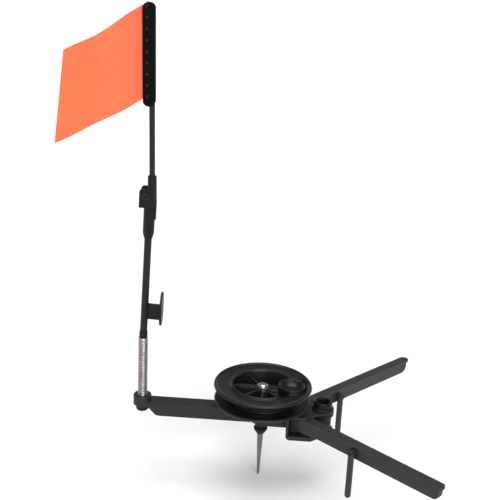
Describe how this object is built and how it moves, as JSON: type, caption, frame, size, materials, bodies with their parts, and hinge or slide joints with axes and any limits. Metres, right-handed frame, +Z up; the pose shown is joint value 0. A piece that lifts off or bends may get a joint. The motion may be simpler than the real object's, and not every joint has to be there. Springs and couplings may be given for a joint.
{
  "type": "ice fishing tip up",
  "caption": "Three-armed ice fishing tip up: a flat line spool with a finger cup over the hub, hinged legs with folding stakes, and an orange flag on a spring-mounted folding post.",
  "frame": {"origin": "spool axis at the level of the ice, the plane the undersides of the arm and legs lie in", "axes": "+Z up along the spool's axis; -X along the arm to the flag post; the two legs spread towards +X; -Y is the front"},
  "size_m": [0.3635, 0.2592, 0.4572],
  "materials": {
    "beam_plastic": "moulded, fine satin",
    "socket_plastic": "moulded, fine satin",
    "leg_plastic": "moulded, fine satin",
    "spool_plastic": "moulded, soft sheen",
    "pin_plastic": "moulded, satin grey",
    "bearing_plastic": "natural acetal",
    "spring_steel": "bright drawn wire",
    "steel": "bright turned",
    "dark_steel": "blackened",
    "rod_fibreglass": "black fibreglass, satin",
    "clamp_plastic": "moulded, satin",
    "flag_cloth": "woven nylon, fluorescent orange"
  },
  "bodies": {
    "stand": {"main_beam": "beam_plastic", "post_socket": "socket_plastic", "socket_bolt": "socket_plastic", "clevis_bracket": "beam_plastic", "bracket_screw": "steel", "line_tube": "beam_plastic", "tube_nut": "beam_plastic", "hub_bush": "bearing_plastic", "spindle": "steel", "spindle_washer": "steel", "collar": "socket_plastic", "center_pin": "pin_plastic", "front_leg_pin": "dark_steel", "rear_leg_pin": "dark_steel", "coil_spring": "spring_steel"},
    "spool": {"spool_top": "spool_plastic", "spool_base": "spool_plastic", "spool_bearing": "bearing_plastic", "spool_screws": "steel"},
    "front_leg": {"front_leg": "leg_plastic", "front_stake_pin": "dark_steel"},
    "rear_leg": {"rear_leg": "leg_plastic", "rear_stake_pin": "dark_steel"},
    "front_stake": {"front_stake": "leg_plastic"},
    "rear_stake": {"rear_stake": "leg_plastic"},
    "flag_post": {"spring_ferrule": "socket_plastic", "lower_rod": "rod_fibreglass", "trigger": "socket_plastic", "hinge_lower": "socket_plastic", "hinge_screw": "dark_steel"},
    "flag_arm": {"hinge_upper": "socket_plastic", "upper_rod": "rod_fibreglass", "clamp_front": "clamp_plastic", "clamp_back": "clamp_plastic", "clamp_rivets": "dark_steel", "flag": "flag_cloth"}
  },
  "joints": [
    {"name": "spool_spin", "type": "hinge", "parent": "stand", "child": "spool", "pos_m": [0, 0, 0.03], "axis": [0, 0, 1], "continuous": true},
    {"name": "post_bend", "type": "hinge", "parent": "stand", "child": "flag_post", "pos_m": [-0.117, 0, 0.05], "axis": [0, 1, 0], "range_deg": [0, 80], "stiffness_Nm_per_rad": 0.4, "deforming": ["coil_spring"]},
    {"name": "flag_fold", "type": "hinge", "parent": "flag_post", "child": "flag_arm", "pos_m": [-0.11564, 0, 0.22273], "axis": [0, -1, 0], "range_deg": [0, 105]},
    {"name": "front_leg_swing", "type": "hinge", "parent": "stand", "child": "front_leg", "pos_m": [0.033, -0.008, 0.005], "axis": [0, 0, -1], "range_deg": [-20, 45]},
    {"name": "rear_leg_swing", "type": "hinge", "parent": "stand", "child": "rear_leg", "pos_m": [0.033, 0.008, 0.005], "axis": [0, 0, 1], "range_deg": [-24, 40]},
    {"name": "front_stake_fold", "type": "hinge", "parent": "front_leg", "child": "front_stake", "pos_m": [0.08564, -0.06245, 0.0072], "axis": [-0.6626, -0.749, 0], "range_deg": [0, 90]},
    {"name": "rear_stake_fold", "type": "hinge", "parent": "rear_leg", "child": "rear_stake", "pos_m": [0.07858, 0.04746, 0.0072], "axis": [0.7254, -0.6884, 0], "range_deg": [0, 90]}
  ]
}
